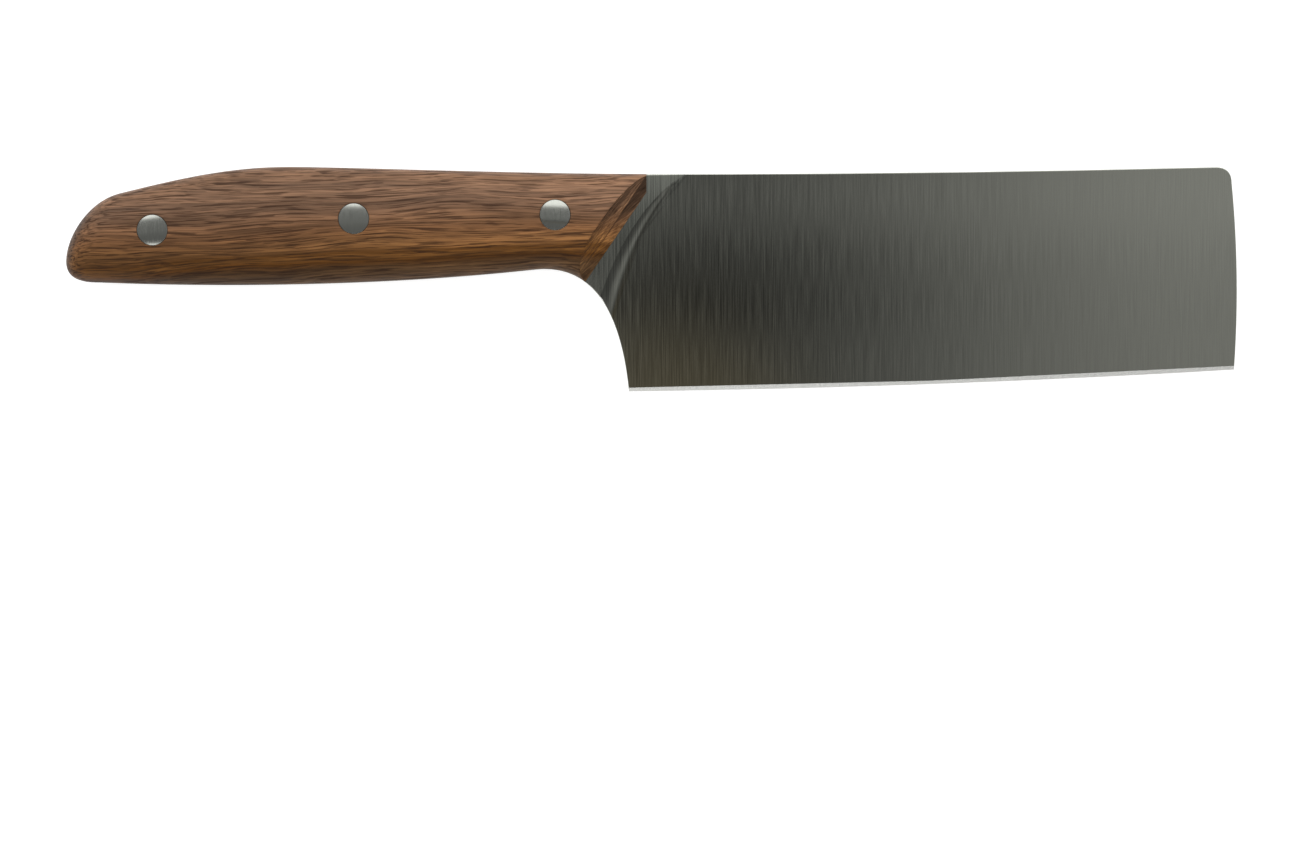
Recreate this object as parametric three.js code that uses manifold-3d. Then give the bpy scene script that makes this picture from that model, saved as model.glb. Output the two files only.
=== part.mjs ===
// Nakiri knife: a vegetable knife with a full tang, two walnut scales and three two-piece rivets.
// Millimetres. The knife lies on its side: +X to the tip, +Y to the spine, +Z up through the flat
// of the blade. The outline is drawn with X from the butt, Y from the line of the spine and Z from
// the middle of the steel; the last lines put the origin under the middle of the whole knife.
import * as THREE from "three";
import { mergeVertices } from "three/addons/utils/BufferGeometryUtils.js";
import Module from "manifold-3d";

// Blade
const EDGE_LENGTH = 155.3; // heel to tip
const HEEL_HEIGHT = 55.7; // spine line to heel
const TIP_HEIGHT = 51.9; // spine to edge at the tip
const SPINE_RISE = 1.8; // the spine sweeps up this far towards the tip
const EDGE_BELLY = 0.9; // bow of the edge below a straight line
const TIP_LEAN = 0.8; // the front end leans back this far from edge to spine
const TIP_BOW = 1; // bow of the front end
const TIP_CORNER = 4; // rounded corner between the front end and the spine
const SPINE_THICKNESS = 2.5;
const BEHIND_EDGE_THICKNESS = 0.45; // where the flat grind ends and the edge bevel begins
const BEVEL_HEIGHT = 0.95;
const APEX_THICKNESS = 0.05; // land left on the cutting edge
const PLUNGE_AHEAD = 15.4; // where the grind starts at the spine, ahead of the heel
const PLUNGE_BEHIND = 3.3; // where it runs out at the choil, behind the heel
const PLUNGE_FOOT = 35; // and how far below the spine line
const PLUNGE_TURN_AHEAD = 2.4; // the turn of the curve between them
const PLUNGE_TURN_DROP = 11.5;
const WHEEL_CORNER_RADIUS = 20; // of the grinding wheel that leaves the plunge

// Handle outline, shared by the tang and the scales
const HANDLE_LENGTH = 120; // butt to neck
const NECK_DEPTH = 24.5; // spine line to underside at the neck
const NECK_SLOPE = 0.11; // the underside still climbs here
const CHOIL_REACH = 24.1; // neck to heel
const HANDLE_DEPTH = 27.8; // spine line to underside at the butt
const CREST_FROM_BUTT = 57;
const CREST_RISE = 1.8; // above the spine line
const SHOULDER_FROM_BUTT = 13.8;
const SHOULDER_DROP = 5;
const SHOULDER_SLOPE = 0.25;
const BUTT_DROP = 22.6; // spine line to the rearmost point
const BUTT_CORNER = 8.7; // length of the rounded lower corner

// How far each curve of the handle follows its direction at either end before it turns
const TOP_LEAVES_NOSE = 31;
const TOP_MEETS_CREST = 14;
const BACK_LEAVES_CREST = 15.3;
const BACK_MEETS_SHOULDER = 14.7;
const BUTT_LEAVES_SHOULDER = 8;
const BUTT_MEETS_END = 6.5;
const CORNER_LEAVES_END = 4.9;
const CORNER_MEETS_UNDERSIDE = 3.7;
const UNDERSIDE_LEAVES_CORNER = 31;
const UNDERSIDE_FALL = 1.3; // it dips this much while it does
const UNDERSIDE_MEETS_NECK = 38;
const CHOIL_LEAVES_NECK = 15.6;
const CHOIL_MEETS_HEEL = 19.2;
const CHOIL_LEAN = 1.9; // and leans this far back over that length

// Scales
const SCALE_THICKNESS_PALM = 8.5;
const SCALE_THICKNESS_FRONT = 7.5;
const CROWN_FULLNESS_TOP = 2.4; // 2 is an ellipse, more is squarer
const CROWN_FULLNESS_UNDER = 1.8;
const NOSE_AHEAD = 4.5; // front end of the scales, ahead of the heel
const NOSE_DROP = 4.8; // short square nose below the spine line
const FRONT_SPARE = 4.5; // wood left ahead of the nose until the front is cut
const FRONT_SLANT = THREE.MathUtils.degToRad(34.3); // of the front edge, back from square
const COVE_HEIGHT = 7.4; // the front face is hollow: a cove from the steel up to the crown
const COVE_DEPTH = 5.2;
const COVE_RADIUS = 30;

// Rivets
const RIVET_FROM_BUTT = 23.1;
const RIVET_FROM_NOSE = 23.2;
const RIVET_DROP = { butt: 14.8, middle: 11.9, front: 10.9 }; // below the spine line
const HEAD_DIAMETER = 7.7;
const HEAD_SEAT = 4.5; // from the steel to the shoulder that the head pulls against
const BARREL_DIAMETER = 5;
const BARREL_END_GAP = 0.6; // the barrel stops short of the far head
const BARREL_FLOOR = 0.6; // metal left between the barrel's bore and its own shoulder
const POST_DIAMETER = 3.2;
const POST_END_GAP = 1.2; // the post stops short of the bottom of the bore
const CLEARANCE = 0.1; // between round faces that fit in each other

// Fineness of the round forms. The underside has as many steps as the top of the handle.
const TOP_STEPS = 24;
const BACK_STEPS = 12;
const BUTT_STEPS = 16;
const CORNER_STEPS = 10;
const FRONT_STEPS = 10; // of the choil where the scales run along it, and as many again below
const UNDERSIDE_STEPS = 1 + TOP_STEPS + BACK_STEPS - FRONT_STEPS;
const EDGE_STEPS = 24;
const TIP_STEPS = 12;
const SPINE_STEPS = 16;
const PLUNGE_STEPS = 24;
const COVE_STEPS = 12;
const ROUND_STEPS = 32;
const RIB_STEPS = 9;
const WHEEL_STEPS = 48;

const SAME_POINT = 1e-4;
const REACH = 40; // how far a cutter runs past what it cuts
const steelFace = SPINE_THICKNESS / 2;

const wasm = await Module();
wasm.setup();

function merged(geometry) {
  const bare = geometry.clone();
  bare.deleteAttribute("normal");
  bare.deleteAttribute("uv");
  return mergeVertices(bare, SAME_POINT);
}

function solidOf(geometry) {
  const closed = merged(geometry);
  return new wasm.Manifold(
    new wasm.Mesh({
      numProp: 3,
      vertProperties: closed.attributes.position.array,
      triVerts: new Uint32Array(closed.index.array),
    }),
  );
}

function geometryOf(solid) {
  const { vertProperties, triVerts } = solid.getMesh();
  const geometry = new THREE.BufferGeometry();
  geometry.setAttribute("position", new THREE.BufferAttribute(vertProperties, 3));
  geometry.setIndex(new THREE.BufferAttribute(triVerts, 1));
  geometry.computeVertexNormals();
  return geometry;
}

// The same form on the other side of the steel, with its faces turned back outwards.
function mirrored(geometry) {
  const copy = merged(geometry);
  copy.scale(1, 1, -1);
  copy.index.array.reverse();
  return copy;
}

// A closed surface through rings of equally many points. Rings that fold up on a line need no caps.
function loft(rings, capped) {
  const points = [];
  const add = (...corners) => {
    const apart = corners.every((p, i) => p.distanceTo(corners[(i + 1) % 3]) > SAME_POINT);
    if (apart) points.push(...corners);
  };
  const count = rings[0].length;
  for (let r = 0; r + 1 < rings.length; r++) {
    for (let i = 0; i < count; i++) {
      const next = (i + 1) % count;
      add(rings[r][i], rings[r][next], rings[r + 1][next]);
      add(rings[r][i], rings[r + 1][next], rings[r + 1][i]);
    }
  }
  const last = rings.at(-1);
  for (let i = 1; capped && i + 1 < count; i++) {
    add(rings[0][0], rings[0][i + 1], rings[0][i]);
    add(last[0], last[i], last[i + 1]);
  }
  return new THREE.BufferGeometry().setFromPoints(points);
}

// A round bar along Z between two heights.
function bar(diameter, x, y, low, high) {
  const geometry = new THREE.CylinderGeometry(diameter / 2, diameter / 2, high - low, ROUND_STEPS);
  geometry.rotateX(Math.PI / 2);
  geometry.translate(x, y, (low + high) / 2);
  return solidOf(geometry);
}

// Corners of the outline
const at = (x, y) => new THREE.Vector2(x, y);
const neck = at(HANDLE_LENGTH, -NECK_DEPTH);
const heel = at(neck.x + CHOIL_REACH, -HEEL_HEIGHT);
const nose = at(heel.x + NOSE_AHEAD, 0);
const crest = at(CREST_FROM_BUTT, CREST_RISE);
const shoulder = at(SHOULDER_FROM_BUTT, -SHOULDER_DROP);
const buttEnd = at(0, -BUTT_DROP);
const underside = at(BUTT_CORNER, -HANDLE_DEPTH);
const tipFoot = at(heel.x + EDGE_LENGTH, SPINE_RISE - TIP_HEIGHT);
const tipTop = at(tipFoot.x - TIP_LEAN, SPINE_RISE);
const cornerFoot = tipTop.clone().lerp(tipFoot, TIP_CORNER / tipTop.distanceTo(tipFoot));
const cornerTop = at(tipTop.x - TIP_CORNER, tipTop.y);

// A curve that leaves one corner along an arm and meets the next along another.
function curve(from, leave, meet, to) {
  return new THREE.CubicBezierCurve(from, from.clone().add(leave), to.clone().add(meet), to);
}

// A shallow curve that bows to the right of the line between two corners.
function bowed(from, to, bow) {
  const across = to.clone().sub(from).normalize();
  const middle = from.clone().lerp(to, 0.5);
  const control = middle.add(at(across.y, -across.x).multiplyScalar(2 * bow));
  return new THREE.QuadraticBezierCurve(from, control, to);
}

// The outline, anticlockwise from the nose of the scales
const backFall = at(1, SHOULDER_SLOPE);
const neckClimb = at(1, NECK_SLOPE);
const handleTop = curve(nose, at(-TOP_LEAVES_NOSE, 0), at(TOP_MEETS_CREST, 0), crest);
const back = curve(
  crest,
  at(-BACK_LEAVES_CREST, 0),
  backFall.clone().multiplyScalar(BACK_MEETS_SHOULDER),
  shoulder,
);
const butt = curve(
  shoulder,
  backFall.clone().multiplyScalar(-BUTT_LEAVES_SHOULDER),
  at(0, BUTT_MEETS_END),
  buttEnd,
);
const buttCorner = curve(buttEnd, at(0, -CORNER_LEAVES_END), at(-CORNER_MEETS_UNDERSIDE, 0), underside);
const belly = curve(
  underside,
  at(UNDERSIDE_LEAVES_CORNER, -UNDERSIDE_FALL),
  neckClimb.clone().multiplyScalar(-UNDERSIDE_MEETS_NECK),
  neck,
);
const choil = curve(
  neck,
  neckClimb.clone().multiplyScalar(CHOIL_LEAVES_NECK),
  at(-CHOIL_LEAN, CHOIL_MEETS_HEEL),
  heel,
);
const edge = bowed(heel, tipFoot, EDGE_BELLY);
const front = bowed(tipFoot, cornerFoot, TIP_BOW);
const frontCorner = new THREE.QuadraticBezierCurve(cornerFoot, tipTop, cornerTop);
const spineMiddle = at((cornerTop.x + nose.x) / 2, nose.y);
const spine = new THREE.QuadraticBezierCurve(cornerTop, spineMiddle, nose);

const stepsAlong = (line, steps, end = 1) =>
  Array.from({ length: steps + 1 }, (_, i) => line.getPoint((i / steps) * end));

// Blade: the flat blank, with the tang
function blank() {
  const outline = [
    stepsAlong(handleTop, TOP_STEPS),
    stepsAlong(back, BACK_STEPS),
    stepsAlong(butt, BUTT_STEPS),
    stepsAlong(buttCorner, CORNER_STEPS),
    stepsAlong(belly, UNDERSIDE_STEPS),
    stepsAlong(choil, 2 * FRONT_STEPS),
    stepsAlong(edge, EDGE_STEPS),
    stepsAlong(front, TIP_STEPS),
    stepsAlong(frontCorner, CORNER_STEPS),
    stepsAlong(spine, SPINE_STEPS),
  ];
  const shape = new THREE.Shape(outline.flatMap((points) => points.slice(1)));
  const geometry = new THREE.ExtrudeGeometry(shape, { depth: SPINE_THICKNESS, bevelEnabled: false });
  return solidOf(geometry.translate(0, 0, -steelFace));
}

// Blade: what the wheel takes off one side, down to a flat flank. Its rounded corner leaves the plunge.
function grind() {
  const chord = tipFoot.clone().sub(heel);
  const toFlank = (p) => p.clone().sub(heel).rotateAround(at(0, 0), -chord.angle());
  const top = at(heel.x + PLUNGE_AHEAD, 0);
  const turn = at(heel.x + PLUNGE_TURN_AHEAD, -PLUNGE_TURN_DROP);
  const foot = at(heel.x - PLUNGE_BEHIND, -PLUNGE_FOOT);
  const plunge = new THREE.QuadraticBezierCurve(toFlank(top), toFlank(turn), toFlank(foot));
  const past = (tangent, p) => tangent.multiplyScalar(REACH).add(p);
  const above = past(plunge.getTangent(0).negate(), plunge.v0);
  const below = past(plunge.getTangent(1), plunge.v2);
  const shape = new THREE.Shape([above, ...stepsAlong(plunge, PLUNGE_STEPS), below]);
  shape.lineTo(below.x, below.y - REACH);
  shape.lineTo(chord.length() + REACH, below.y - REACH);
  shape.lineTo(chord.length() + REACH, above.y);
  const geometry = new THREE.ExtrudeGeometry(shape, {
    depth: REACH,
    bevelThickness: WHEEL_CORNER_RADIUS,
    bevelSize: WHEEL_CORNER_RADIUS,
    bevelSegments: WHEEL_STEPS,
  });
  const taper = steelFace - BEHIND_EDGE_THICKNESS / 2;
  const slope = taper / (HEEL_HEIGHT - BEVEL_HEIGHT);
  geometry.translate(0, 0, WHEEL_CORNER_RADIUS);
  geometry.rotateX(Math.atan(slope));
  geometry.translate(0, 0, BEHIND_EDGE_THICKNESS / 2 - slope * BEVEL_HEIGHT);
  geometry.rotateZ(chord.angle());
  return geometry.translate(heel.x, heel.y, 0);
}

// Blade: what the stone takes off one side of the cutting edge
function edgeBevel() {
  const slope = (BEHIND_EDGE_THICKNESS - APEX_THICKNESS) / 2 / BEVEL_HEIGHT;
  const inward = 3 * BEVEL_HEIGHT; // well into the flank
  const outward = -BEVEL_HEIGHT;
  const stations = stepsAlong(edge, EDGE_STEPS).map((p, i) => [p, edge.getTangent(i / EDGE_STEPS)]);
  const [first, last] = [stations[0], stations.at(-1)];
  stations.unshift([first[0].clone().addScaledVector(first[1], -REACH), first[1]]);
  stations.push([last[0].clone().addScaledVector(last[1], REACH), last[1]]);
  const rings = stations.map(([p, along]) => {
    const ring = (depth, z) => new THREE.Vector3(p.x - along.y * depth, p.y + along.x * depth, z);
    const height = (depth) => APEX_THICKNESS / 2 + slope * depth;
    return [
      ring(outward, height(outward)),
      ring(inward, height(inward)),
      ring(inward, SPINE_THICKNESS),
      ring(outward, SPINE_THICKNESS),
    ];
  });
  return loft(rings, true);
}

// Scale: the whole crowned form on one side of the tang, running on past its front end.
// Ribs rise from the outline to a crown line along the middle, each as a quarter of a superellipse.
function crownedHalf() {
  const overNose = at(nose.x + FRONT_SPARE, nose.y);
  const topEdge = [overNose, ...stepsAlong(handleTop, TOP_STEPS), ...stepsAlong(back, BACK_STEPS).slice(1)];
  const underEdge = [
    ...stepsAlong(choil, FRONT_STEPS, 0.5).reverse(),
    ...stepsAlong(belly, UNDERSIDE_STEPS).reverse().slice(1),
  ];
  const end = [
    ...stepsAlong(butt, BUTT_STEPS).slice(1),
    ...stepsAlong(buttCorner, CORNER_STEPS).slice(1, -1),
  ];
  const crowns = topEdge.map((p, i) => p.clone().lerp(underEdge[i], 0.5));
  const ribs = [
    ...topEdge.map((p, i) => ({ foot: p, crown: crowns[i], fullness: CROWN_FULLNESS_TOP })),
    ...end.map((p, i) => ({
      foot: p,
      crown: crowns.at(-1),
      fullness: THREE.MathUtils.lerp(CROWN_FULLNESS_TOP, CROWN_FULLNESS_UNDER, (i + 1) / (end.length + 1)),
    })),
    ...underEdge.map((p, i) => ({ foot: p, crown: crowns[i], fullness: CROWN_FULLNESS_UNDER })).reverse(),
  ];
  const ringAt = (turn) =>
    ribs.map(({ foot, crown, fullness }) => {
      const towardsFront = THREE.MathUtils.smoothstep(crown.x, crest.x, nose.x);
      const thickness = THREE.MathUtils.lerp(SCALE_THICKNESS_PALM, SCALE_THICKNESS_FRONT, towardsFront);
      const spread = Math.max(0, Math.cos(turn)) ** (2 / fullness);
      const p = crown.clone().lerp(foot, spread);
      return new THREE.Vector3(p.x, p.y, steelFace + thickness * Math.sin(turn) ** (2 / fullness));
    });
  const base = ribs.map(({ crown }) => new THREE.Vector3(crown.x, crown.y, steelFace));
  const rings = Array.from({ length: RIB_STEPS + 1 }, (_, j) => ringAt((j / RIB_STEPS) * (Math.PI / 2)));
  return solidOf(loft([base, ...rings], false));
}

// Scale: what is cut away in front, by a slanted cove and a square nose
function frontCut() {
  const chord = at(-COVE_DEPTH, COVE_HEIGHT);
  const half = chord.length() / 2;
  const toCentre = Math.sqrt(COVE_RADIUS ** 2 - half ** 2);
  const away = at(chord.y, -chord.x).normalize().multiplyScalar(toCentre);
  const centre = chord.clone().multiplyScalar(0.5).add(away);
  const footAngle = centre.clone().negate().angle();
  const topAngle = chord.clone().sub(centre).angle();
  const overrun = (footAngle - topAngle) / 2;
  const profile = new THREE.Shape();
  profile.absarc(centre.x, centre.y, COVE_RADIUS, topAngle - overrun, footAngle + overrun, false);
  profile.lineTo(REACH, profile.currentPoint.y);
  profile.lineTo(REACH, REACH);
  profile.lineTo(-COVE_DEPTH, REACH);
  const cove = new THREE.ExtrudeGeometry(profile, {
    depth: 2 * REACH,
    curveSegments: COVE_STEPS,
    bevelEnabled: false,
  });
  cove.translate(0, 0, -REACH);
  cove.rotateX(Math.PI / 2);
  cove.rotateZ(-FRONT_SLANT);
  cove.translate(nose.x, nose.y - NOSE_DROP, steelFace);
  const square = new THREE.BoxGeometry(REACH, 2 * REACH, 2 * REACH);
  square.translate(nose.x + REACH / 2, 0, 0);
  return solidOf(cove).add(solidOf(square));
}

// Rivets: where they stand, and the holes for them
const seat = steelFace + HEAD_SEAT;
const overCrown = seat + REACH;
const rivetRow = { butt: RIVET_FROM_BUTT, front: nose.x - RIVET_FROM_NOSE };
rivetRow.middle = (rivetRow.butt + rivetRow.front) / 2;
const rivets = ["butt", "middle", "front"].map((name) => ({
  name,
  x: rivetRow[name],
  y: nose.y - RIVET_DROP[name],
}));

function shankHole({ x, y }) {
  return bar(BARREL_DIAMETER + 2 * CLEARANCE, x, y, -overCrown, overCrown);
}

function headHole({ x, y }) {
  return bar(HEAD_DIAMETER + 2 * CLEARANCE, x, y, seat, overCrown);
}

// Rivets: a head ground flush with the crown of the scale
function head({ x, y }, crown) {
  return bar(HEAD_DIAMETER, x, y, seat, overCrown).intersect(crown);
}

function post(rivet, crown) {
  const tip = -seat + BARREL_FLOOR + POST_END_GAP;
  return head(rivet, crown).add(bar(POST_DIAMETER, rivet.x, rivet.y, tip, seat + BARREL_FLOOR));
}

// Drawn with its head up, as the post is, and turned over to the other side afterwards.
function barrel(rivet, crown) {
  const open = -seat + BARREL_END_GAP;
  const boreDiameter = POST_DIAMETER + 2 * CLEARANCE;
  const tube = bar(BARREL_DIAMETER, rivet.x, rivet.y, open, seat + BARREL_FLOOR);
  const bore = bar(boreDiameter, rivet.x, rivet.y, -seat, seat - BARREL_FLOOR);
  return head(rivet, crown).add(tube).subtract(bore);
}

// Finishes
const satinSteel = { color: 0x8d8f8c, roughness: 0.35, metalness: 1 };
const oiledWalnut = { color: 0x7a573e, roughness: 0.55, metalness: 0 };
const rivetSteel = { color: 0xa9aaa5, roughness: 0.3, metalness: 1 };

function piece(name, geometry, finish) {
  const mesh = new THREE.Mesh(geometry, new THREE.MeshStandardMaterial(finish));
  mesh.name = name;
  return mesh;
}

// Assembly
const knife = new THREE.Group();

let steel = blank();
for (const cutter of [grind(), edgeBevel()]) {
  steel = steel.subtract(solidOf(cutter)).subtract(solidOf(mirrored(cutter)));
}
for (const rivet of rivets) {
  steel = steel.subtract(shankHole(rivet));
}
knife.add(piece("blade", geometryOf(steel), satinSteel));

const crown = crownedHalf();
let scale = crown.subtract(frontCut());
for (const rivet of rivets) {
  scale = scale.subtract(shankHole(rivet)).subtract(headHole(rivet));
}
const scaleGeometry = geometryOf(scale);
knife.add(piece("scale_right", scaleGeometry, oiledWalnut));
knife.add(piece("scale_left", mirrored(scaleGeometry), oiledWalnut));

for (const rivet of rivets) {
  knife.add(piece(`rivet_${rivet.name}_post`, geometryOf(post(rivet, crown)), rivetSteel));
  knife.add(piece(`rivet_${rivet.name}_barrel`, mirrored(geometryOf(barrel(rivet, crown))), rivetSteel));
}

// Origin under the middle of the knife, at the height of what it lies on
const box = new THREE.Box3().setFromObject(knife);
const middle = box.getCenter(new THREE.Vector3());
knife.position.set(-middle.x, -middle.y, -box.min.z);

export default knife;
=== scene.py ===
import math

import bmesh
import bpy
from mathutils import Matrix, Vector
from mathutils.geometry import interpolate_bezier


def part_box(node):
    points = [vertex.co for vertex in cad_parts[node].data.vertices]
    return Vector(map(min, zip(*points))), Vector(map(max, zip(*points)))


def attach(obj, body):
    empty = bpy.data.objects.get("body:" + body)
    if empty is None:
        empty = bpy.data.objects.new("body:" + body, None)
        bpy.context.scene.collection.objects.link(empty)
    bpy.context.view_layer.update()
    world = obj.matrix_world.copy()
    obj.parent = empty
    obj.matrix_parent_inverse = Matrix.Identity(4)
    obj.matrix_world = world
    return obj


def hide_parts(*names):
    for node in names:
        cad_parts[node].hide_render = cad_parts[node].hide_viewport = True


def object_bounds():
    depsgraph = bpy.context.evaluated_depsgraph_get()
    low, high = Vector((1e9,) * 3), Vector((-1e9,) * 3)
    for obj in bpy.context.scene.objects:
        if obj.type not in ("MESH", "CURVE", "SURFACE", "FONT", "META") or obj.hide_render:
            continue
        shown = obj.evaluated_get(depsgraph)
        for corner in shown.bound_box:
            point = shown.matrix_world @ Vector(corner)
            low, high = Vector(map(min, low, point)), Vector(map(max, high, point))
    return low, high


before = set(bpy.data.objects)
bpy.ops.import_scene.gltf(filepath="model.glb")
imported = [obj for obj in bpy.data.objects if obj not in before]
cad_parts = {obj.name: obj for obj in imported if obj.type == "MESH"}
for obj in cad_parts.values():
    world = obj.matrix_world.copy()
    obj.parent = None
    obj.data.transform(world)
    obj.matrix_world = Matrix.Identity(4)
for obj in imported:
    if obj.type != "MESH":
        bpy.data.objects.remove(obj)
cad_low, cad_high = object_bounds()


# Blade and tang
# One piece of stainless sheet, 2.5 mm thick, ground flat on both sides from the spine to the edge.
# The belt leaves fine lines across the flanks, the stone leaves a bright bevel along the edge, and
# the corners of the spine, front and choil are eased by hand.
SPINE_RISE = 0.0018  # the spine sweeps up this far towards the tip
NOSE_DROP = 0.0048  # the front of the scales is square down to here, and slants back below
FRONT_SLANT = math.radians(34.3)
BLADE_EASED = 0.00020
TANG_EASED = 0.00008
SQUARE = math.radians(60)  # a corner at least as sharp as this is eased
NEAR_APEX = 0.00010  # half the thickness below which the steel is cutting edge
HONED_TILT = (math.radians(7), math.radians(20))
HONED_SWEEP = math.radians(4)
PLUNGE_TURN = (math.radians(4), math.radians(20))  # where the ground flank leaves the ricasso
SAME_PLACE = 1e-6  # points nearer than this are one
SAME_FACE = math.radians(0.2)  # faces that turn less than this are one
SOFT_TURN = math.radians(30)  # steel that turns less than this is shaded round

blade_low, blade_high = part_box("blade")
scale_low, scale_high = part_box("scale_right")
steel_middle = (blade_low.z + blade_high.z) / 2
steel_top = scale_low.z
half_steel = steel_top - steel_middle
spine_y = blade_high.y - SPINE_RISE
nose_foot = Vector((scale_high.x, spine_y - NOSE_DROP, steel_top))


def select_only(piece):
    bpy.ops.object.select_all(action="DESELECT")
    piece.select_set(True)
    bpy.context.view_layer.objects.active = piece


def pick(piece, kind, wanted):
    """In edit mode, leaves only those edges or faces selected that are wanted."""
    bpy.ops.mesh.select_mode(type=kind)
    bpy.ops.mesh.select_all(action="DESELECT")
    mesh = bmesh.from_edit_mesh(piece.data)
    for part in mesh.edges if kind == "EDGE" else mesh.faces:
        if wanted(part):
            part.select_set(True)
    bmesh.update_edit_mesh(piece.data)


def apply_modifier(piece, kind, **settings):
    select_only(piece)
    modifier = piece.modifiers.new(kind.title(), kind)
    for name, value in settings.items():
        setattr(modifier, name, value)
    bpy.ops.object.modifier_apply(modifier=modifier.name)


def behind_scales(edge):
    middle = (edge.verts[0].co + edge.verts[1].co) / 2
    slanted_back = max(0, nose_foot.y - middle.y) * math.tan(FRONT_SLANT)
    return middle.x < nose_foot.x - slanted_back


def square_corner(edge):
    if len(edge.link_faces) != 2 or edge.calc_face_angle() < SQUARE:
        return False
    return all(abs(v.co.z - steel_middle) > NEAR_APEX for v in edge.verts)


def open_corner(edge):
    return square_corner(edge) and not behind_scales(edge)


def tang_corner(edge):
    return square_corner(edge) and behind_scales(edge)


def honed_face(face):
    tilt = math.asin(-face.normal.y)
    sweep = abs(math.asin(face.normal.x))
    return HONED_TILT[0] < tilt < HONED_TILT[1] and sweep < HONED_SWEEP


def honed_border(edge):
    return len({face.material_index for face in edge.link_faces}) == 2


def plunge_crest(edge):
    on_flat = [abs(abs(v.co.z - steel_middle) - half_steel) < SAME_PLACE for v in edge.verts]
    return all(on_flat) and PLUNGE_TURN[0] < edge.calc_face_angle() < PLUNGE_TURN[1]


def crisp_line(edge):
    return honed_border(edge) or plunge_crest(edge)


blade = bpy.data.objects.new("ground_blade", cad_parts["blade"].data.copy())
bpy.context.scene.collection.objects.link(blade)
blade.data.materials.clear()
select_only(blade)
bpy.ops.object.mode_set(mode="EDIT")
bpy.ops.mesh.select_all(action="SELECT")
bpy.ops.mesh.remove_doubles(threshold=SAME_PLACE)
bpy.ops.mesh.dissolve_limited(angle_limit=SAME_FACE)
pick(blade, "EDGE", open_corner)
bpy.ops.mesh.bevel(offset=BLADE_EASED, segments=3, profile=0.5)
pick(blade, "EDGE", tang_corner)
bpy.ops.mesh.bevel(offset=TANG_EASED, segments=2, profile=0.5)
bpy.ops.object.mode_set(mode="OBJECT")

LINES_PER_METRE = 3200
LINE_LENGTHS_PER_METRE = 70
LINE_DEPTH = 0.00002
LINES_FADE = (0.015, 0.10)  # the lines are plain at the heel and fade towards the tip
LINES_LEFT_AT_TIP = 0.2
NOISE_SPAN = (0.3, 0.7)  # nearly all values of a noise lie in here
CORNER_FACING = (0.93, 0.80)  # how alike the true and the rounded surface face, from flat to corner
WEAR_SPAN = (0.3, 0.6)  # of the noise that breaks the wear up into patches
WEAR_WIDTH = 0.0004
WEAR_PATCHES_PER_METRE = 90
SATIN_DARK = (0.31, 0.316, 0.278, 1)
SATIN_PALE = (0.60, 0.612, 0.538, 1)
SATIN_WORN = (0.72, 0.72, 0.70, 1)
SATIN_ROUGHNESS = (0.075, 0.095)
HONED_DARK = (0.70, 0.70, 0.67, 1)
HONED_PALE = (0.88, 0.88, 0.85, 1)
HONED_ROUGHNESS = 0.22
HONED_FINER = 2  # the stone's lines are finer and shorter than the belt's
HONED_SHORTER = 6


def feed(tree, node, inputs):
    """Sets each named input to a plain value, or links it to the socket that feeds it."""
    for name, value in inputs.items():
        if isinstance(value, bpy.types.NodeSocket):
            tree.links.new(value, node.inputs[name])
        else:
            node.inputs[name].default_value = value


def put(tree, kind, inputs=None, **settings):
    """Adds a shader node."""
    made = tree.nodes.new("ShaderNode" + kind)
    for name, value in settings.items():
        setattr(made, name, value)
    feed(tree, made, inputs or {})
    return made


def ranged(tree, value, span, onto=(0, 1), interpolation="LINEAR"):
    """A value between the two ends of a span, laid onto another span."""
    ends = {"From Min": span[0], "From Max": span[1], "To Min": onto[0], "To Max": onto[1]}
    laid = put(tree, "MapRange", {"Value": value, **ends}, interpolation_type=interpolation)
    return laid.outputs["Result"]


def mixed(tree, share, first, second):
    return put(tree, "Mix", {0: share, 6: first, 7: second}, data_type="RGBA").outputs[2]


def worked_out(tree, operation, first, second=0):
    return put(tree, "Math", {0: first, 1: second}, operation=operation).outputs[0]


def sum_of(tree, first, second):
    return worked_out(tree, "ADD", first, second)


def product(tree, first, second):
    return worked_out(tree, "MULTIPLY", first, second)


def of_vectors(tree, operation, first, second=(0, 0, 0), result="Vector"):
    return put(tree, "VectorMath", {0: first, 1: second}, operation=operation).outputs[result]


def facing(tree, normal, way):
    """1 where a surface faces that way, 0 where it stands square to it."""
    return of_vectors(tree, "DOT_PRODUCT", normal, way, "Value")


def empty_material(name):
    material = bpy.data.materials.new(name)
    material.use_nodes = True
    material.node_tree.nodes.clear()
    return material, material.node_tree


def new_material(name):
    material, tree = empty_material(name)
    surface = put(tree, "BsdfPrincipled")
    put(tree, "OutputMaterial", {"Surface": surface.outputs["BSDF"]})
    return material, tree, surface


def new_group(name, inputs, output):
    tree = bpy.data.node_groups.new(name, "ShaderNodeTree")
    for label in inputs:
        tree.interface.new_socket(label, in_out="INPUT", socket_type="NodeSocketFloat")
    tree.interface.new_socket(output, in_out="OUTPUT", socket_type="NodeSocketFloat")
    entry = tree.nodes.new("NodeGroupInput")
    leave = tree.nodes.new("NodeGroupOutput")
    return tree, entry.outputs, leave.inputs[output]


def use_group(tree, group, inputs):
    return put(tree, "Group", inputs, node_tree=group).outputs[0]


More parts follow.
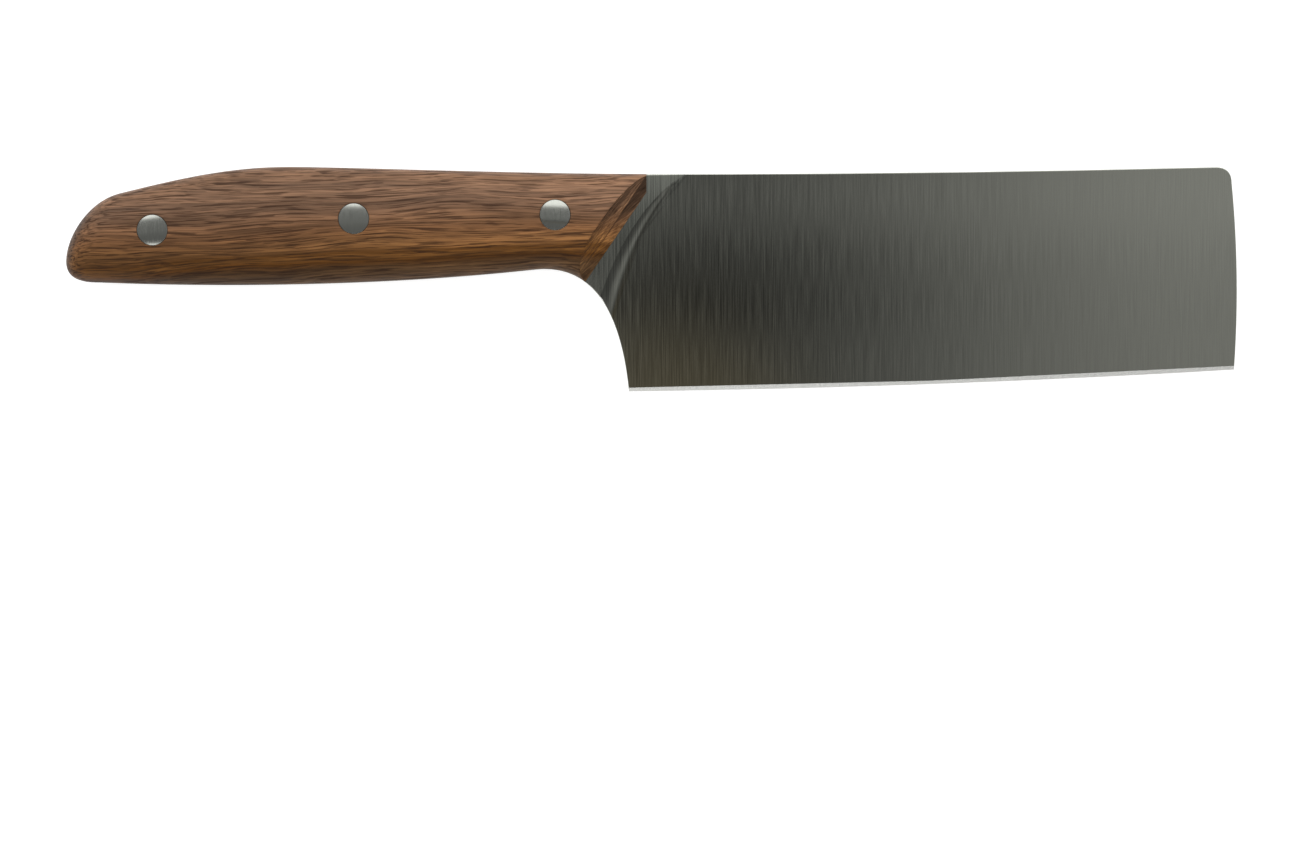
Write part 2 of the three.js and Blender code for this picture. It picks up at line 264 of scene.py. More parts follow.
# Lines left by a belt: thin, broken and all in one direction.
belt_lines, given, lines = new_group("belt_lines", ("Across", "Along"), "Lines")
spot = put(belt_lines, "CombineXYZ", {"X": given["Across"], "Y": given["Along"]})
fine = put(belt_lines, "TexNoise", {"Vector": spot.outputs[0], "Scale": 1, "Detail": 3})
belt_lines.links.new(fine.outputs["Fac"], lines)

# Corners rub bright, in patches.
edge_wear, given, worn = new_group("edge_wear", ("Width", "Patches"), "Worn")
here = put(edge_wear, "NewGeometry").outputs["Normal"]
rounded = put(edge_wear, "Bevel", {"Radius": given["Width"]}, samples=6).outputs["Normal"]
corner = ranged(edge_wear, facing(edge_wear, rounded, here), CORNER_FACING)
place = put(edge_wear, "TexCoord").outputs["Object"]
patches = put(edge_wear, "TexNoise", {"Vector": place, "Scale": given["Patches"], "Detail": 3})
broken = ranged(edge_wear, patches.outputs["Fac"], WEAR_SPAN)
edge_wear.links.new(product(edge_wear, corner, broken), worn)


def lines_on(tree, per_metre, lengths_per_metre):
    """Belt lines that run along Y."""
    place = put(tree, "TexCoord").outputs["Object"]
    spot = put(tree, "SeparateXYZ", {"Vector": place}).outputs
    across = product(tree, spot["X"], per_metre)
    along = product(tree, spot["Y"], lengths_per_metre)
    return use_group(tree, belt_lines, {"Across": across, "Along": along})


satin, tree, steel = new_material("satin_blade_steel")
ground = lines_on(tree, LINES_PER_METRE, LINE_LENGTHS_PER_METRE)
worn = use_group(tree, edge_wear, {"Width": WEAR_WIDTH, "Patches": WEAR_PATCHES_PER_METRE})
place = put(tree, "TexCoord").outputs["Object"]
towards_tip = put(tree, "SeparateXYZ", {"Vector": place}).outputs["X"]
plainness = ranged(tree, towards_tip, LINES_FADE, (1, LINES_LEFT_AT_TIP))
off_middle_tone = product(tree, ranged(tree, ground, NOISE_SPAN, (-0.5, 0.5)), plainness)
tone = mixed(tree, sum_of(tree, off_middle_tone, 0.5), SATIN_DARK, SATIN_PALE)
dents = put(tree, "Bump", {"Height": ground, "Strength": 0.02, "Distance": LINE_DEPTH})
feed(tree, steel, {
    "Base Color": mixed(tree, worn, tone, SATIN_WORN),
    "Roughness": ranged(tree, ground, NOISE_SPAN, SATIN_ROUGHNESS),
    "Normal": dents.outputs["Normal"],
    "Metallic": 1,
})

honed, tree, steel = new_material("honed_edge_steel")
ground = lines_on(tree, HONED_FINER * LINES_PER_METRE, HONED_SHORTER * LINE_LENGTHS_PER_METRE)
dents = put(tree, "Bump", {"Height": ground, "Strength": 0.1, "Distance": LINE_DEPTH})
feed(tree, steel, {
    "Base Color": mixed(tree, ranged(tree, ground, NOISE_SPAN), HONED_DARK, HONED_PALE),
    "Roughness": HONED_ROUGHNESS,
    "Normal": dents.outputs["Normal"],
    "Metallic": 1,
})

blade.data.materials.append(satin)
blade.data.materials.append(honed)
bpy.ops.object.mode_set(mode="EDIT")
pick(blade, "FACE", honed_face)
blade.active_material_index = 1
bpy.ops.object.material_slot_assign()
pick(blade, "EDGE", crisp_line)
bpy.ops.mesh.mark_sharp()
bpy.ops.object.mode_set(mode="OBJECT")
bpy.ops.object.shade_smooth_by_angle(angle=SOFT_TURN)
apply_modifier(blade, "WEIGHTED_NORMAL", keep_sharp=True, weight=100)
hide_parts("blade")
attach(blade, "root")


# Handle scales
# Two slabs of oiled walnut glued and riveted to the tang and ground down with it to one outline.
# Each is crowned across the grip, cut off by a hollow slanting face in front, and counterbored
# for the rivet heads. The second is the mirror image of the first.
FINER = 4  # steps for each step of the solid's own outline
TOP_STEPS = 24
BACK_STEPS = 12
BUTT_STEPS = 16
CORNER_STEPS = 10
FRONT_STEPS = 10
UNDERSIDE_STEPS = 1 + TOP_STEPS + BACK_STEPS - FRONT_STEPS
RIB_STEPS = 36
FORM_RIB_STEPS = 144  # of the form that the rivet heads are ground to
PALM_THICKNESS = 0.0085
FRONT_THICKNESS = 0.0075
TOP_FULLNESS = 2.4  # 2 is an ellipse, more is squarer
UNDER_FULLNESS = 1.8
FRONT_SPARE = 0.0045  # the slab is made this much longer, and its front is then cut


def on_outline(from_butt, below_spine):
    return Vector((scale_low.x + from_butt, spine_y - below_spine, 0))


def arm(x, y):
    return Vector((x, y, 0))


nose = on_outline(0.1486, 0)
crest = on_outline(0.057, -0.0018)
shoulder = on_outline(0.0138, 0.005)
butt_end = on_outline(0, 0.0226)
underside = on_outline(0.0087, 0.0278)
neck = on_outline(0.120, 0.0245)
heel = on_outline(0.1441, 0.0557)
shoulder_fall = arm(1, 0.25)
neck_climb = arm(1, 0.11)


def curve(start, leave, meet, end, steps):
    return interpolate_bezier(start, start + leave, end + meet, end, FINER * steps + 1)


over_nose = nose + arm(FRONT_SPARE, 0)
lead = [over_nose.lerp(nose, i / FINER) for i in range(FINER)]
top = curve(nose, arm(-0.031, 0), arm(0.014, 0), crest, TOP_STEPS)
back = curve(crest, arm(-0.0153, 0), shoulder_fall * 0.0147, shoulder, BACK_STEPS)
butt = curve(shoulder, shoulder_fall * -0.008, arm(0, 0.0065), butt_end, BUTT_STEPS)
corner = curve(butt_end, arm(0, -0.0049), arm(-0.0037, 0), underside, CORNER_STEPS)
belly = curve(underside, arm(0.031, -0.0013), neck_climb * -0.038, neck, UNDERSIDE_STEPS)
choil = curve(neck, neck_climb * 0.0156, arm(-0.0019, 0.0192), heel, 2 * FRONT_STEPS)

top_edge = lead + top + back[1:]
under_edge = choil[FINER * FRONT_STEPS::-1] + belly[-2::-1]
end_edge = butt[1:] + corner[1:-1]
crown_line = [a.lerp(b, 0.5) for a, b in zip(top_edge, under_edge)]
ribs = [(foot, crown, TOP_FULLNESS) for foot, crown in zip(top_edge, crown_line)]
for i, foot in enumerate(end_edge):
    turned = (i + 1) / (len(end_edge) + 1)
    ribs.append((foot, crown_line[-1], TOP_FULLNESS + (UNDER_FULLNESS - TOP_FULLNESS) * turned))
ribs += [(foot, crown, UNDER_FULLNESS) for foot, crown in zip(under_edge, crown_line)][::-1]


def on_rib(rib, turn):
    """A point of the crowned surface: turn 0 is its foot on the steel, 1 is the crown."""
    foot, crown, fullness = rib
    ahead = min(max((crown.x - crest.x) / (nose.x - crest.x), 0), 1)
    ahead = ahead * ahead * (3 - 2 * ahead)
    thickness = PALM_THICKNESS + (FRONT_THICKNESS - PALM_THICKNESS) * ahead
    angle = turn * math.pi / 2
    spread = max(0, math.cos(angle)) ** (2 / fullness)
    point = crown.lerp(foot, spread)
    point.z = steel_top + thickness * math.sin(angle) ** (2 / fullness)
    return point


def crowned_slab(name, rib_steps):
    """The whole crowned form on one side of the tang, closed below and in front."""
    bpy.ops.object.select_all(action="DESELECT")
    bpy.ops.mesh.primitive_grid_add(x_subdivisions=len(ribs) - 1, y_subdivisions=rib_steps, size=1)
    slab = bpy.context.object
    slab.name = name
    for vertex in slab.data.vertices:
        rib = ribs[round((vertex.co.x + 0.5) * (len(ribs) - 1))]
        vertex.co = on_rib(rib, vertex.co.y + 0.5)
    bpy.ops.object.mode_set(mode="EDIT")
    bpy.ops.mesh.select_all(action="SELECT")
    bpy.ops.mesh.remove_doubles(threshold=SAME_PLACE)
    first, last = ribs[0][0], ribs[-1][0]
    across = (last - first).normalized()

    def in_front(edge):
        on_line = [abs((v.co - first).cross(across).z) < SAME_PLACE for v in edge.verts]
        return edge.is_boundary and all(on_line)

    pick(slab, "EDGE", in_front)
    bpy.ops.mesh.edge_face_add()
    pick(slab, "EDGE", lambda edge: edge.is_boundary)
    bpy.ops.mesh.edge_face_add()
    bpy.ops.mesh.select_all(action="SELECT")
    bpy.ops.mesh.normals_make_consistent(inside=False)
    bpy.ops.object.mode_set(mode="OBJECT")
    return slab


form = crowned_slab("crown_form", FORM_RIB_STEPS)
scale_right = crowned_slab("walnut_scale_right", RIB_STEPS)


def cut(piece, cutter):
    apply_modifier(piece, "BOOLEAN", object=cutter, operation="DIFFERENCE", solver="EXACT")
    bpy.data.objects.remove(cutter)


# The cove is cut by a drum that lies along the slanting front. Its hollow meets the steel and the crown.
# A block then squares off the nose above it.
COVE_HEIGHT = 0.0074
COVE_DEPTH = 0.0052
COVE_RADIUS = 0.030
DRUM_LENGTH = 0.2
BLOCK_SIZE = 0.08

half_chord = math.hypot(COVE_DEPTH, COVE_HEIGHT) / 2
to_axis = math.sqrt(COVE_RADIUS ** 2 - half_chord ** 2)
chord_turn = math.atan2(COVE_DEPTH, COVE_HEIGHT)
axis_ahead = to_axis * math.cos(chord_turn) - COVE_DEPTH / 2
axis_up = to_axis * math.sin(chord_turn) + COVE_HEIGHT / 2
straight_ahead = Vector((math.cos(FRONT_SLANT), -math.sin(FRONT_SLANT), 0))
bpy.ops.object.select_all(action="DESELECT")
bpy.ops.mesh.primitive_cylinder_add(
    vertices=512,
    radius=COVE_RADIUS,
    depth=DRUM_LENGTH,
    location=nose_foot + straight_ahead * axis_ahead + Vector((0, 0, axis_up)),
    rotation=(math.pi / 2, 0, -FRONT_SLANT),
)
cut(scale_right, bpy.context.object)
bpy.ops.object.select_all(action="DESELECT")
bpy.ops.mesh.primitive_cube_add(size=BLOCK_SIZE, location=(nose.x + BLOCK_SIZE / 2, nose.y, steel_top))
cut(scale_right, bpy.context.object)

# Three counterbored holes take the rivets.
HEAD_RADIUS = 0.00385
SHANK_RADIUS = 0.0025
RIVET_CLEARANCE = 0.0001
WOOD_UNDER_HEAD = 0.0045
ROOM_OVER_STEEL = 0.02
ROOM_UNDER_STEEL = 0.01

head_seat = steel_top + WOOD_UNDER_HEAD
over_crown = steel_top + ROOM_OVER_STEEL
under_tang = steel_top - ROOM_UNDER_STEEL


def bore(piece, radius, low, high, spot):
    bpy.ops.object.select_all(action="DESELECT")
    bpy.ops.mesh.primitive_cylinder_add(
        vertices=64, radius=radius, depth=high - low, location=(spot.x, spot.y, (low + high) / 2)
    )
    cut(piece, bpy.context.object)


rivet_spots = {}
for where in ("butt", "middle", "front"):
    rivet_low, rivet_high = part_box(f"rivet_{where}_post")
    rivet_spots[where] = (rivet_low + rivet_high) / 2
for spot in rivet_spots.values():
    bore(scale_right, HEAD_RADIUS + RIVET_CLEARANCE, head_seat, over_crown, spot)
    bore(scale_right, SHANK_RADIUS + RIVET_CLEARANCE, under_tang, over_crown, spot)

# The sharp corners are eased with fine paper.
SCALE_EASED = 0.00010
EASED_ABOVE = math.radians(35)
SOFT_WOOD_TURN = math.radians(32)  # wood that turns less than this is shaded round

select_only(scale_right)
bpy.ops.object.mode_set(mode="EDIT")
bpy.ops.mesh.select_all(action="SELECT")
bpy.ops.mesh.remove_doubles(threshold=SCALE_EASED / 4)
bpy.ops.object.mode_set(mode="OBJECT")
apply_modifier(
    scale_right,
    "BEVEL",
    width=SCALE_EASED,
    segments=2,
    limit_method="ANGLE",
    angle_limit=EASED_ABOVE,
    use_clamp_overlap=False,
)
bpy.ops.object.shade_smooth_by_angle(angle=SOFT_WOOD_TURN)

# Walnut in millimetres: X follows the grain, which rises a little towards the blade. The colours run
# across the slab from dark brown at the underside through an orange band to a grey lilac on top: the
# wood's own bands, with painted shade darkening the underside and a painted sheen greying the top.
MM_PER_METRE = 1000
GRAIN_RISE = math.radians(2.2)
SWAY_PER_MM = (0.014, 0.05, 0.03)
SWAY = 2  # the grain wanders this far to either side
SLAB_WIDTH = 30
# Colours across the slab: the wood's own bands, with painted shade in the dark stops at the underside
# and a painted sheen in the grey lilac stops on top.
WOOD_BANDS_AND_PAINTED_LIGHT = (
    (0.13, (0.160, 0.082, 0.033, 1)),
    (0.21, (0.120, 0.044, 0.006, 1)),
    (0.25, (0.230, 0.097, 0.023, 1)),
    (0.29, (0.160, 0.063, 0.012, 1)),
    (0.35, (0.330, 0.150, 0.050, 1)),
    (0.48, (0.245, 0.113, 0.046, 1)),
    (0.68, (0.225, 0.119, 0.065, 1)),
    (0.95, (0.270, 0.145, 0.080, 1)),
)
STREAKS = (  # their number per millimetre along, across and into the slab, their tones, their detail
    ((0.012, 0.30, 0.15), (0.74, 1.28), 3),
    ((0.025, 0.9, 0.45), (0.82, 1.22), 3),
    ((0.05, 1.8, 0.9), (0.76, 1.30), 2),
)
PORE = (0.045, 0.018, 0.007, 1)
PORES_PER_MM = (0.08, 2.5, 1.25)
PORE_SPAN = (0.57, 0.62)
PORES_FILLED = (0, 0.72)
PORE_DEPTH = 0.00005
FINE_PORES_PER_MM = (0.14, 3.4, 1.7)
FINE_PORE_SPAN = (0.56, 0.61)
FINE_PORES_FILLED = (0, 0.55)
COVE_FACING = (0.3, 0.5)  # the cove faces ahead more than this, and the crown less
LAYER_LEAN = 1.6  # in the cove the layers of growth lie this far across for each step down
PALER_FROM_TO = (-130, -20)  # the wood grows paler along the grip
PALER_BY = (0.9, 1.08)
END_GRAIN_AND_PAINTED_LIGHT = (  # how pale the wood is by where it faces: darker end grain facing back to the butt, plain facing up, and on the cove facing ahead a painted highlight band near the steel and painted shade towards the ridge
    (0.12, (0.55, 0.55, 0.55, 1)),
    (0.21, (1, 1, 1, 1)),
    (0.78, (1, 1, 1, 1)),
    (0.80, (1.8, 1.8, 1.7, 1)),
    (0.815, (1.4, 1.4, 1.35, 1)),
    (0.823, (1.1, 1.1, 1.1, 1)),
    (0.832, (0.60, 0.60, 0.60, 1)),
    (0.85, (0.42, 0.42, 0.42, 1)),
    (0.865, (0.30, 0.30, 0.30, 1)),
)
WOOD_ROUGHNESS = (0.48, 0.65)
WOOD_GLOSS = 0.22


def ramp(tree, share, stops):
    """Colours at places between 0 and 1."""
    made = put(tree, "ValToRGB", {"Fac": share})
    elements = made.color_ramp.elements
    elements.remove(elements[1])
    elements[0].position, elements[0].color = stops[0]
    for position, colour in stops[1:]:
        elements.new(position).color = colour
    return made.outputs["Color"]


def scaled(tree, colour, by):
    return of_vectors(tree, "MULTIPLY", colour, by)


def drawn_out(tree, vector, per_mm, span, onto, detail):
    """Noise drawn out along the grain; a span of its values is laid onto another."""
    place = put(tree, "Mapping", {"Vector": vector, "Scale": per_mm}).outputs[0]
    noise = put(tree, "TexNoise", {"Vector": place, "Scale": 1, "Detail": detail})
    return ranged(tree, noise.outputs["Fac"], span, onto)


walnut, tree, wood = new_material("oiled_walnut")
place = put(tree, "TexCoord").outputs["Object"]
turn = {"Vector": place, "Scale": (MM_PER_METRE,) * 3, "Rotation": (0, 0, -GRAIN_RISE)}
grain = put(tree, "Mapping", turn).outputs[0]
axes = put(tree, "SeparateXYZ", {"Vector": grain}).outputs
sway = drawn_out(tree, grain, SWAY_PER_MM, NOISE_SPAN, (-SWAY, SWAY), detail=2)
across = sum_of(tree, axes["Y"], sway)
off_middle = worked_out(tree, "ABSOLUTE", sum_of(tree, axes["Z"], -MM_PER_METRE * steel_middle))
over_front = sum_of(tree, off_middle, -MM_PER_METRE * (half_steel + FRONT_THICKNESS))
ahead = facing(tree, put(tree, "NewGeometry").outputs["Normal"], (1, 0, 0))
lean = ranged(tree, ahead, COVE_FACING, (0, LAYER_LEAN))
layer = sum_of(tree, across, product(tree, lean, over_front))
layers = put(tree, "CombineXYZ", {"X": axes["X"], "Y": layer, "Z": axes["Z"]}).outputs[0]

# The bands across the slab, carrying painted shade below and a painted sheen on top.
tone = ramp(tree, product(tree, across, 1 / SLAB_WIDTH), WOOD_BANDS_AND_PAINTED_LIGHT)
for per_mm, tones, detail in STREAKS:
    tone = scaled(tree, tone, drawn_out(tree, layers, per_mm, NOISE_SPAN, tones, detail))
pores = drawn_out(tree, layers, PORES_PER_MM, PORE_SPAN, PORES_FILLED, detail=1)
fine_pores = drawn_out(tree, layers, FINE_PORES_PER_MM, FINE_PORE_SPAN, FINE_PORES_FILLED, detail=1)
tone = mixed(tree, fine_pores, mixed(tree, pores, tone, PORE), PORE)
# Darker end grain, and on the cove a painted highlight band and painted shade by how steeply it faces
# ahead.
tone = scaled(tree, tone, ramp(tree, ranged(tree, ahead, (-1, 1)), END_GRAIN_AND_PAINTED_LIGHT))
tone = scaled(tree, tone, ranged(tree, axes["X"], PALER_FROM_TO, PALER_BY))
dents = put(tree, "Bump", {"Height": pores, "Strength": 0.2, "Distance": PORE_DEPTH}, invert=True)
feed(tree, wood, {
    "Base Color": tone,
    "Roughness": ranged(tree, pores, PORES_FILLED, WOOD_ROUGHNESS),
    "Normal": dents.outputs["Normal"],
    "Specular IOR Level": WOOD_GLOSS,
})
scale_right.data.materials.clear()
scale_right.data.materials.append(walnut)


def turn_over(piece):
    """Mirrors a piece to the other side of the steel."""
    select_only(piece)
    bpy.ops.object.mode_set(mode="EDIT")
    bpy.ops.mesh.select_all(action="SELECT")
    bpy.ops.transform.resize(value=(1, 1, -1), center_override=(0, 0, steel_middle))
    bpy.ops.mesh.normals_make_consistent(inside=False)
    bpy.ops.object.mode_set(mode="OBJECT")


scale_left = bpy.data.objects.new("walnut_scale_left", scale_right.data.copy())
bpy.context.scene.collection.objects.link(scale_left)
turn_over(scale_left)
for scale, node in ((scale_right, "scale_right"), (scale_left, "scale_left")):
    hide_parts(node)
    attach(scale, "root")


# Rivets
# Each is a headed steel post pressed into a headed barrel, through scales and tang. Both heads stand
# proud at first and are ground down flush with the crown of the wood, then polished.
POST_RADIUS = 0.0016
HEAD_RINGS = 14
RIVET_TURNS = 64
RIVET_EASED = 0.00002
HEAD_TOP = 1.5 * RIVET_EASED  # the top of a head and its eased rim lie within this
BARREL_END_GAP = 0.0006
BARREL_FLOOR = 0.0006
POST_END_GAP = 0.0012
RIVET_DARK = (0.44, 0.45, 0.41, 1)
RIVET_PALE = (0.51, 0.52, 0.475, 1)
RIVET_ROUGHNESS = (0.13, 0.17)
RIVET_FINER = 1.5  # the lines on a head are finer and shorter than the blade's
RIVET_SHORTER = 4

polished, tree, steel = new_material("polished_rivet_steel")
ground = lines_on(tree, RIVET_FINER * LINES_PER_METRE, RIVET_SHORTER * LINE_LENGTHS_PER_METRE)
feed(tree, steel, {
    "Base Color": mixed(tree, ranged(tree, ground, NOISE_SPAN), RIVET_DARK, RIVET_PALE),
    "Roughness": ranged(tree, ground, NOISE_SPAN, RIVET_ROUGHNESS),
    "Metallic": 1,
})


def turned_piece(name, profile):
    """Spins a profile of (radius, height) points about the Z axis through the origin."""
    mesh = bpy.data.meshes.new(name)
    mesh.from_pydata(
        [(radius, 0, height) for radius, height in profile],
        [(i, i + 1) for i in range(len(profile) - 1)],
        [],
    )
    piece = bpy.data.objects.new(name, mesh)
    bpy.context.scene.collection.objects.link(piece)
    select_only(piece)
    bpy.ops.object.mode_set(mode="EDIT")
    bpy.ops.mesh.select_all(action="SELECT")
    bpy.ops.mesh.spin(steps=RIVET_TURNS, angle=2 * math.pi, center=(0, 0, 0), axis=(0, 0, 1))
    bpy.ops.mesh.select_all(action="SELECT")
    bpy.ops.mesh.remove_doubles(threshold=SAME_PLACE)
    bpy.ops.mesh.normals_make_consistent(inside=False)
    bpy.ops.object.mode_set(mode="OBJECT")
    return piece


head_rim = HEAD_RADIUS - RIVET_EASED
head = [(head_rim * i / HEAD_RINGS, over_crown) for i in range(HEAD_RINGS + 1)]
head += [(HEAD_RADIUS, over_crown - RIVET_EASED), (HEAD_RADIUS, head_seat)]
far_seat = 2 * steel_middle - head_seat
post_tip = far_seat + BARREL_FLOOR + POST_END_GAP
post_profile = head + [(POST_RADIUS, head_seat), (POST_RADIUS, post_tip), (0, post_tip)]
barrel_open = far_seat + BARREL_END_GAP
bore_radius = POST_RADIUS + RIVET_CLEARANCE
bore_floor = head_seat - BARREL_FLOOR
barrel_profile = head + [
    (SHANK_RADIUS, head_seat),
    (SHANK_RADIUS, barrel_open),
    (bore_radius, barrel_open),
    (bore_radius, bore_floor),
    (0, bore_floor),
]
post = turned_piece("post", post_profile)
barrel = turned_piece("barrel", barrel_profile)


def ground_flush(pattern, name, spot):
    """A copy of a rivet half at its place, with its head taken down to the crown of the scale."""
    piece = bpy.data.objects.new(name, pattern.data.copy())
    bpy.context.scene.collection.objects.link(piece)
    select_only(piece)
    bpy.ops.object.mode_set(mode="EDIT")
    bpy.ops.mesh.select_all(action="SELECT")
    bpy.ops.transform.translate(value=(spot.x, spot.y, 0))
    bpy.ops.object.mode_set(mode="OBJECT")
    for vertex in piece.data.vertices:
        below_top = over_crown - vertex.co.z
        if below_top < HEAD_TOP:
            start = Vector((vertex.co.x, vertex.co.y, over_crown))
            on_crown = form.ray_cast(start, Vector((0, 0, -1)))[1]
            vertex.co.z = on_crown.z - below_top
    bpy.ops.object.shade_smooth_by_angle(angle=SOFT_TURN)
    piece.data.materials.append(polished)
    return piece


for where, spot in rivet_spots.items():
    right = ground_flush(post, f"rivet_{where}_post_steel", spot)
    left = ground_flush(barrel, f"rivet_{where}_barrel_steel", spot)
    turn_over(left)
    for piece, node in ((right, f"rivet_{where}_post"), (left, f"rivet_{where}_barrel")):
        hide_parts(node)
        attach(piece, "root")
for pattern in (post, barrel, form):
    bpy.data.objects.remove(pattern)


# Floor
# A wide sheet of white paper under the knife. It shows white to the eye and to the steel, and still
# takes a shadow.
FLOOR_SIZE = 8
PAPER = (0.5, 0.5, 0.5, 1)
PAPER_GLOW = 0.9

bpy.ops.object.select_all(action="DESELECT")
bpy.ops.mesh.primitive_plane_add(size=FLOOR_SIZE, location=(0, 0, 0))
floor = bpy.context.object
floor.name = "white_floor"
paper, tree = empty_material("white_paper")
matt = put(tree, "BsdfDiffuse", {"Color": PAPER})
path = put(tree, "LightPath").outputs
to_steel = sum_of(tree, path["Is Glossy Ray"], path["Is Transmission Ray"])
seen = sum_of(tree, path["Is Camera Ray"], to_steel)
glow = put(tree, "Emission", {"Color": (1, 1, 1, 1), "Strength": product(tree, seen, PAPER_GLOW)})
both = put(tree, "AddShader", {0: matt.outputs[0], 1: glow.outputs[0]})
put(tree, "OutputMaterial", {"Surface": both.outputs[0]})
floor.data.materials.append(paper)


# Light
# A large softbox behind the spine and a narrow one before the edge. The room is a plain grey with pale
# walls. What the flank mirrors of it is dark straight overhead, and paler beyond the tip and the spine.
def softbox(name, middle, width, depth, radiance):
    """A rectangle of light that faces the knife."""
    data = bpy.data.lights.new(name, "AREA")
    data.shape = "RECTANGLE"
    data.size = width
    data.size_y = depth
    data.energy = radiance * math.pi * width * depth
    lamp = bpy.data.objects.new(name, data)
    bpy.context.scene.collection.objects.link(lamp)
    lamp.location = middle
    lamp.rotation_euler = (-Vector(middle)).to_track_quat("-Z", "Y").to_euler()
    lamp.visible_camera = False


softbox("spine_softbox", middle=(0, 0.870, 0.925), width=3.0, depth=1.28, radiance=1.4)
softbox("edge_strip", middle=(0, -0.549, 1.178), width=2.4, depth=0.19, radiance=1.5)

# Places in the room are parts of a unit step from the knife: X towards the tip, Y towards the spine.
DARK_AT = (0.012, -0.001, 0)
DARK_DRAWN_OUT = (1, 0.3, 0)  # the dark is longer from edge to spine than along the knife
DARK_REACH = (0.006, 0.15)
OVERHEAD_LIGHT = (0.018, 0.205)  # in the middle of the dark, and at its rim
BEYOND_TIP = (0.01, 0.165)
BEYOND_TIP_LIGHT = 0.131
BEHIND_SPINE = (0, 0.2)
BEHIND_SPINE_LIGHT = (
    (0, (0, 0, 0, 1)),
    (0.06, (0.01, 0.01, 0.01, 1)),
    (0.13, (0.16, 0.16, 0.16, 1)),
    (0.15, (0.17, 0.17, 0.17, 1)),
    (0.17, (0.23, 0.23, 0.23, 1)),
    (0.18, (0.18, 0.18, 0.18, 1)),
    (0.195, (0.012, 0.012, 0.012, 1)),
    (0.305, (0.012, 0.012, 0.012, 1)),
    (0.36, (0.42, 0.43, 0.43, 1)),
    (0.45, (0.32, 0.33, 0.33, 1)),
    (0.60, (0.04, 0.04, 0.04, 1)),
)
SPINE_LIGHT_FADE = (0.04, 0.14)
SPINE_LIGHT_LEFT = 0.72
BEFORE_HEEL = ((0.13, 0.05), (-0.004, -0.014))  # along X, and along Y
BEFORE_HEEL_LIGHT = 0.05
BEFORE_TIP = ((0.02, 0.09), (-0.035, -0.075))  # the room is dimmer in this corner
BEFORE_TIP_LEFT = 0.42
WARM_AT = (-0.005, -0.07, 0)  # a warm patch before the edge
WARM_REACH = (0.066, 0.056)
WARM_LIGHT = (0.075, 0.052, 0.014)
PLAIN_SPAN = (-0.25, 0.25)  # the plain grey grows paler from edge to spine
PLAIN_LIGHT = (0.15, 0.27)
OVER_HANDLE = (-0.015, -0.023)  # from here back the room is plain
FLANK_MIDDLE = 0.02
OFF_FLANK = (0.07, 0.11)  # this far from the middle of what the flank mirrors, it is plain too
WALL_RISE = (0.8, 0.97)  # how near to level the walls begin
WALL_LIGHT = 0.35

world = bpy.data.worlds.new("studio")
bpy.context.scene.world = world
world.use_nodes = True
tree = world.node_tree
tree.nodes.clear()
way = put(tree, "TexCoord").outputs["Generated"]
ways = put(tree, "SeparateXYZ", {"Vector": way}).outputs
flat_way = scaled(tree, way, (1, 1, 0))


def apart(tree, first, second):
    return of_vectors(tree, "DISTANCE", first, second, "Value")


def patch(tree, x_span, y_span):
    """A share that grows along X and along Y."""
    return product(tree, ranged(tree, ways["X"], x_span), ranged(tree, ways["Y"], y_span))


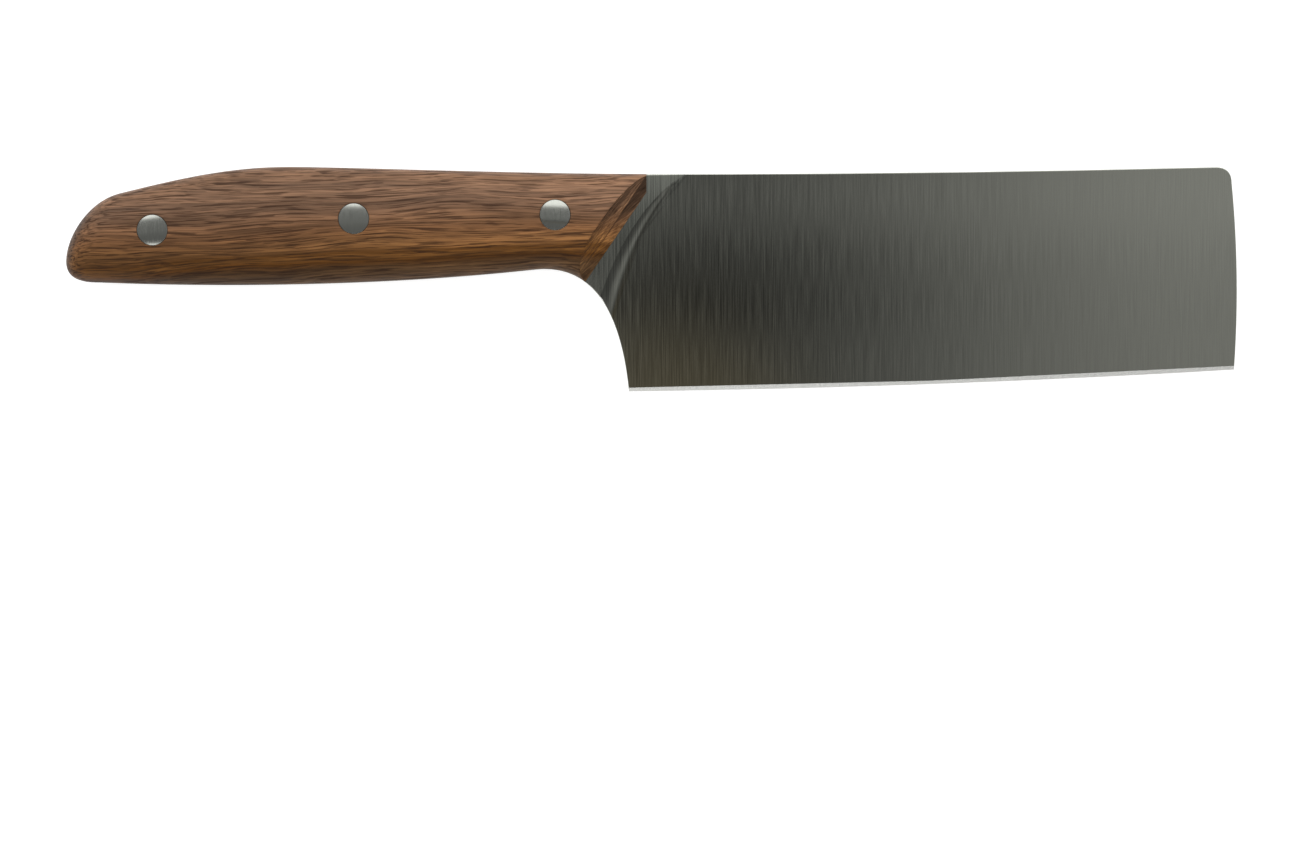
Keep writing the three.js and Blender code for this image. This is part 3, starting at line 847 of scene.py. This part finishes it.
off_dark = apart(tree, scaled(tree, way, DARK_DRAWN_OUT), DARK_AT)
overhead = ranged(tree, off_dark, DARK_REACH, OVERHEAD_LIGHT, "SMOOTHSTEP")
beyond_tip = ranged(tree, ways["X"], BEYOND_TIP, (0, BEYOND_TIP_LIGHT), "SMOOTHSTEP")
before_heel = product(tree, patch(tree, *BEFORE_HEEL), BEFORE_HEEL_LIGHT)
behind_spine = ramp(tree, ranged(tree, ways["Y"], BEHIND_SPINE), BEHIND_SPINE_LIGHT)
spine_fade = ranged(tree, ways["X"], SPINE_LIGHT_FADE, (1, SPINE_LIGHT_LEFT))
warm = scaled(tree, WARM_LIGHT, ranged(tree, apart(tree, flat_way, WARM_AT), WARM_REACH))
room = sum_of(tree, sum_of(tree, overhead, beyond_tip), before_heel)
room = of_vectors(tree, "ADD", scaled(tree, behind_spine, spine_fade), room)
room = of_vectors(tree, "ADD", room, warm)

plain = ranged(tree, ways["Y"], PLAIN_SPAN, PLAIN_LIGHT)
off_flank = worked_out(tree, "ABSOLUTE", sum_of(tree, ways["Y"], -FLANK_MIDDLE))
over_handle = ranged(tree, ways["X"], OVER_HANDLE)
beside = worked_out(tree, "MAXIMUM", over_handle, ranged(tree, off_flank, OFF_FLANK))
room = mixed(tree, beside, room, plain)
room = scaled(tree, room, ranged(tree, patch(tree, *BEFORE_TIP), (0, 1), (1, BEFORE_TIP_LEFT)))
low_down = of_vectors(tree, "LENGTH", flat_way, result="Value")
room = of_vectors(tree, "ADD", room, ranged(tree, low_down, WALL_RISE, (0, WALL_LIGHT)))
to_camera = put(tree, "LightPath").outputs["Is Camera Ray"]
sky = put(tree, "Background", {"Color": mixed(tree, to_camera, room, (1, 1, 1, 1))})
put(tree, "OutputWorld", {"Surface": sky.outputs[0]})
bpy.context.scene.view_settings.view_transform = "Standard"


# Camera
# Straight above the knife, which lies in the upper half of the picture, and as high as makes the knife
# its right length there. Lengths in the picture are in pixels.
LENS = 100
SENSOR = 36
PICTURE_WIDTH = 1304
KNIFE_LENGTH_IN_PICTURE = 1171
KNIFE_ABOVE_MIDDLE = 154.8

metres_per_pixel = (cad_high.x - cad_low.x) / KNIFE_LENGTH_IN_PICTURE
lens = bpy.data.cameras.new("camera")
lens.lens = LENS
lens.sensor_width = SENSOR
camera = bpy.data.objects.new("camera", lens)
bpy.context.scene.collection.objects.link(camera)
height = PICTURE_WIDTH * metres_per_pixel * LENS / SENSOR
camera.location = (0, -KNIFE_ABOVE_MIDDLE * metres_per_pixel, blade_high.z + height)
bpy.context.scene.camera = camera
